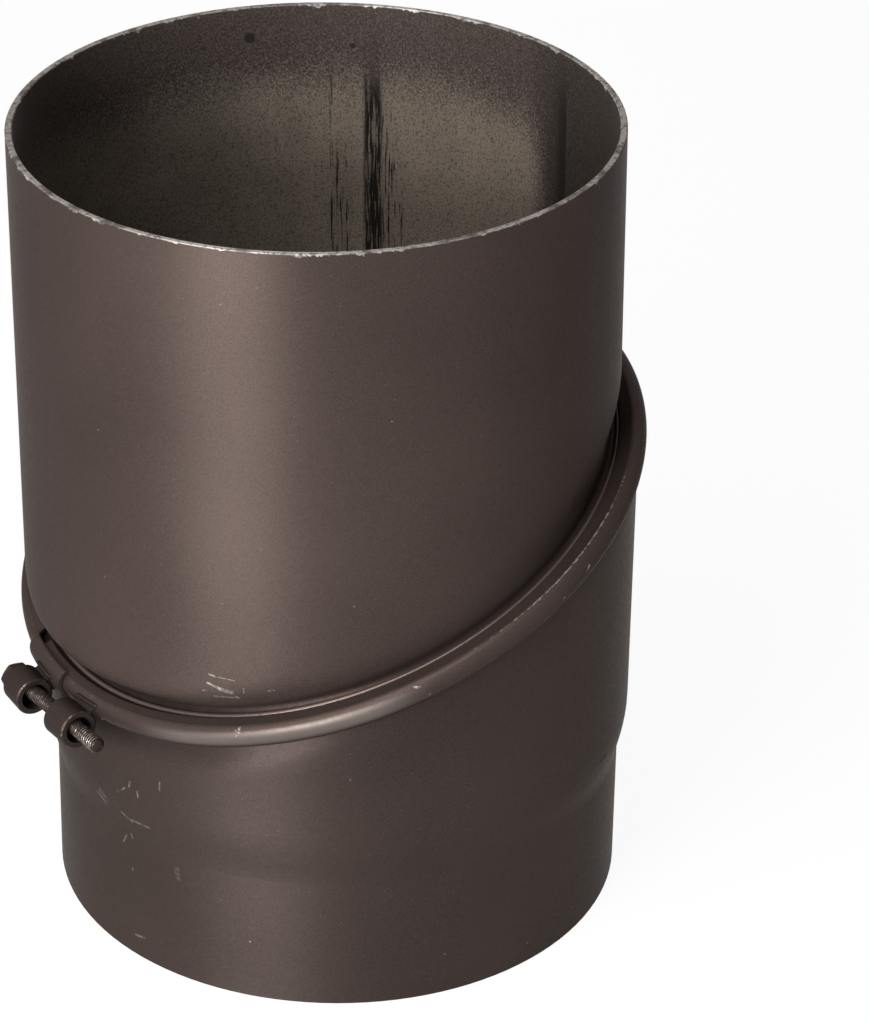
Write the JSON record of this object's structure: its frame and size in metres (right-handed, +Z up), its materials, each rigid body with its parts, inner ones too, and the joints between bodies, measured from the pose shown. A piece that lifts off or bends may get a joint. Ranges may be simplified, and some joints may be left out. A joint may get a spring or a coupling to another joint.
{
  "type": "adjustable flue elbow",
  "caption": "Adjustable flue elbow: short pipes with flanges that swivel in a slanted joint, held by a split clamp band with welded lugs and a bolt; plain pipe end above, stepped spigot below.",
  "frame": {"origin": "centre of the spigot's cut end, on its axis", "axes": "+Z up along the lower pipe's axis; the slanted joint is lowest on -X and highest on +X"},
  "size_m": [0.1657, 0.167, 0.2115],
  "materials": {
    "pipe_paint": "satin dark brown heat-proof paint with fine sparkle, worn at the cut edge",
    "band_paint": "satin dark brown heat-proof paint, rubbed bright along the lips",
    "lug_paint": "satin dark brown heat-proof paint, rubbed bright on the rims",
    "bolt_steel": "overpainted steel, thread rubbed bright towards its tip"
  },
  "bodies": {
    "lower": {"lower_pipe": "pipe_paint"},
    "upper": {"upper_pipe": "pipe_paint"},
    "clamp": {"clamp_band": "band_paint", "head_lug": "lug_paint", "threaded_lug": "lug_paint"},
    "bolt": {"clamp_bolt": "bolt_steel"}
  },
  "joints": [
    {"name": "elbow_swivel", "type": "hinge", "parent": "lower", "child": "upper", "pos_m": [-0.0027, 0, 0.10488], "axis": [-0.3827, 0, 0.9239], "continuous": true},
    {"name": "clamp_swivel", "type": "hinge", "parent": "lower", "child": "clamp", "pos_m": [-0.0027, 0, 0.10488], "axis": [-0.3827, 0, 0.9239], "continuous": true},
    {"name": "bolt_turn", "type": "hinge", "parent": "clamp", "child": "bolt", "pos_m": [-0.08431, -0.00788, 0.07108], "axis": [0.0821, -0.996, 0.034], "continuous": true}
  ]
}
